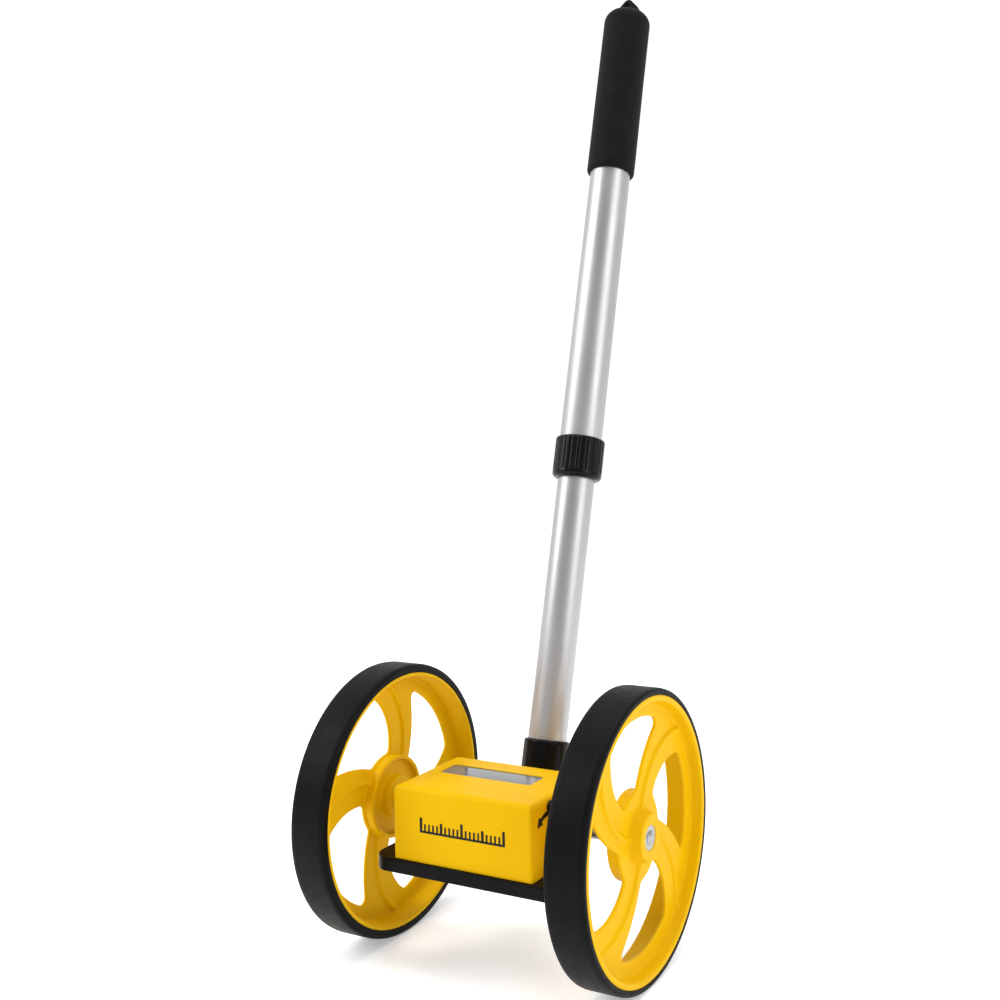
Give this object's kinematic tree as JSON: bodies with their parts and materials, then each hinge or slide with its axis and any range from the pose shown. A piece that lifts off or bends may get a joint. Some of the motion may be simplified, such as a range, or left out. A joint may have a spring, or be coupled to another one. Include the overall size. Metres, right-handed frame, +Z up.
{
  "type": "measuring wheel",
  "caption": "Measuring wheel with two rubber-tyred spoked wheels on one axle, a drum counter in a box between them and a leaning telescopic handle with a foam grip.",
  "frame": {"origin": "on the floor, midway between the two tyres and straight under the axle", "axes": "+X along the axle towards the right wheel, -Y to the front (the way it is pushed), +Y towards the handle and the user, +Z up"},
  "size_m": [0.1872, 0.2802, 0.6108],
  "materials": {
    "yellow_plastic": "satin moulded",
    "black_plastic": "gloss moulded",
    "tyre_rubber": "satin rubber tread",
    "foam": "matt closed-cell foam",
    "tube_alloy": "satin anodised",
    "steel": "zinc plated",
    "frame_steel": "galvanised sheet",
    "acetal": "plain moulded",
    "drum_black": "printed with white digits",
    "lens": "clear window",
    "print_black": "printed mark"
  },
  "bodies": {
    "chassis": {"base_plate": "black_plastic", "counter_cover": "yellow_plastic", "window_lens": "lens", "counter_mask": "black_plastic", "counter_frame": "frame_steel", "axle_bush_left": "black_plastic", "axle_bush_right": "black_plastic", "transfer_shaft": "steel", "cover_screw_1": "steel", "cover_screw_2": "steel", "cover_screw_3": "steel", "cover_screw_4": "steel", "frame_screw_1": "steel", "frame_screw_2": "steel", "handle_socket": "black_plastic", "socket_screw_1": "steel", "socket_screw_2": "steel", "socket_screw_3": "steel", "socket_screw_4": "steel", "lower_tube": "tube_alloy", "socket_bolt": "steel", "socket_nut": "steel", "guide_plug": "black_plastic", "reset_spring": "steel", "reset_arrow": "print_black"},
    "drive": {"axle": "steel", "right_wheel": "yellow_plastic", "right_tyre": "tyre_rubber", "axle_gear": "acetal", "right_spacer": "steel", "left_spacer": "steel", "right_end_screw": "steel", "left_end_screw": "steel", "right_washer": "steel", "left_washer": "steel"},
    "left_wheel": {"left_wheel": "yellow_plastic", "left_tyre": "tyre_rubber", "left_hub_bush": "acetal"},
    "idler": {"idler_arbor": "acetal"},
    "units": {"units_arbor": "acetal", "counter_drum_1": "drum_black"},
    "drum_2": {"counter_drum_2": "drum_black"},
    "drum_3": {"counter_drum_3": "drum_black"},
    "drum_4": {"counter_drum_4": "drum_black"},
    "drum_5": {"counter_drum_5": "drum_black"},
    "pinion_1": {"transfer_pinion_1": "acetal"},
    "pinion_2": {"transfer_pinion_2": "acetal"},
    "pinion_3": {"transfer_pinion_3": "acetal"},
    "pinion_4": {"transfer_pinion_4": "acetal"},
    "reset": {"reset_lever": "black_plastic", "reset_rake": "steel"},
    "upper_handle": {"upper_tube": "tube_alloy", "lock_seat": "black_plastic", "lock_collet": "acetal", "grip": "foam", "hanger_cap": "black_plastic"},
    "lock_nut": {"lock_nut": "black_plastic"}
  },
  "joints": [
    {"name": "axle_spin", "type": "hinge", "parent": "chassis", "child": "drive", "pos_m": [0, 0, 0.07958], "axis": [1, 0, 0], "continuous": true},
    {"name": "left_wheel_spin", "type": "hinge", "parent": "chassis", "child": "left_wheel", "pos_m": [0, 0, 0.07958], "axis": [1, 0, 0], "continuous": true},
    {"name": "idler_spin", "type": "hinge", "parent": "chassis", "child": "idler", "pos_m": [0, 0.00194, 0.09142], "axis": [1, 0, 0], "continuous": true},
    {"name": "units_spin", "type": "hinge", "parent": "chassis", "child": "units", "pos_m": [0, -0.0062, 0.09348], "axis": [1, 0, 0], "continuous": true},
    {"name": "drum_2_spin", "type": "hinge", "parent": "chassis", "child": "drum_2", "pos_m": [0, -0.0062, 0.09348], "axis": [1, 0, 0], "continuous": true},
    {"name": "drum_3_spin", "type": "hinge", "parent": "chassis", "child": "drum_3", "pos_m": [0, -0.0062, 0.09348], "axis": [1, 0, 0], "continuous": true},
    {"name": "drum_4_spin", "type": "hinge", "parent": "chassis", "child": "drum_4", "pos_m": [0, -0.0062, 0.09348], "axis": [1, 0, 0], "continuous": true},
    {"name": "drum_5_spin", "type": "hinge", "parent": "chassis", "child": "drum_5", "pos_m": [0, -0.0062, 0.09348], "axis": [1, 0, 0], "continuous": true},
    {"name": "pinion_1_spin", "type": "hinge", "parent": "chassis", "child": "pinion_1", "pos_m": [0, -0.01475, 0.09659], "axis": [1, 0, 0], "continuous": true},
    {"name": "pinion_2_spin", "type": "hinge", "parent": "chassis", "child": "pinion_2", "pos_m": [0, -0.01475, 0.09659], "axis": [1, 0, 0], "continuous": true},
    {"name": "pinion_3_spin", "type": "hinge", "parent": "chassis", "child": "pinion_3", "pos_m": [0, -0.01475, 0.09659], "axis": [1, 0, 0], "continuous": true},
    {"name": "pinion_4_spin", "type": "hinge", "parent": "chassis", "child": "pinion_4", "pos_m": [0, -0.01475, 0.09659], "axis": [1, 0, 0], "continuous": true},
    {"name": "reset_press", "type": "hinge", "parent": "chassis", "child": "reset", "pos_m": [0, -0.025, 0.07958], "axis": [1, 0, 0], "range_deg": [0, 28], "stiffness_Nm_per_rad": 0.02, "springref_deg": -28.65},
    {"name": "handle_slide", "type": "slide", "parent": "chassis", "child": "upper_handle", "axis": [0, 0.2698, 0.9629], "range_m": [-0.158, 0.11]},
    {"name": "lock_twist", "type": "hinge", "parent": "upper_handle", "child": "lock_nut", "pos_m": [0, 0.09722, 0.27987], "axis": [0, 0.2698, 0.9629], "range_deg": [0, 90]}
  ],
  "couplings": [
    {"joint": "idler_spin", "follows": "axle_spin", "ratio": -0.66667},
    {"joint": "units_spin", "follows": "axle_spin", "ratio": 0.5},
    {"joint": "drum_2_spin", "follows": "axle_spin", "ratio": 0.05},
    {"joint": "drum_3_spin", "follows": "axle_spin", "ratio": 0.005},
    {"joint": "drum_4_spin", "follows": "axle_spin", "ratio": 0.0005},
    {"joint": "drum_5_spin", "follows": "axle_spin", "ratio": 0.00005},
    {"joint": "pinion_1_spin", "follows": "axle_spin", "ratio": -0.125},
    {"joint": "pinion_2_spin", "follows": "axle_spin", "ratio": -0.0125},
    {"joint": "pinion_3_spin", "follows": "axle_spin", "ratio": -0.00125},
    {"joint": "pinion_4_spin", "follows": "axle_spin", "ratio": -0.000125}
  ]
}
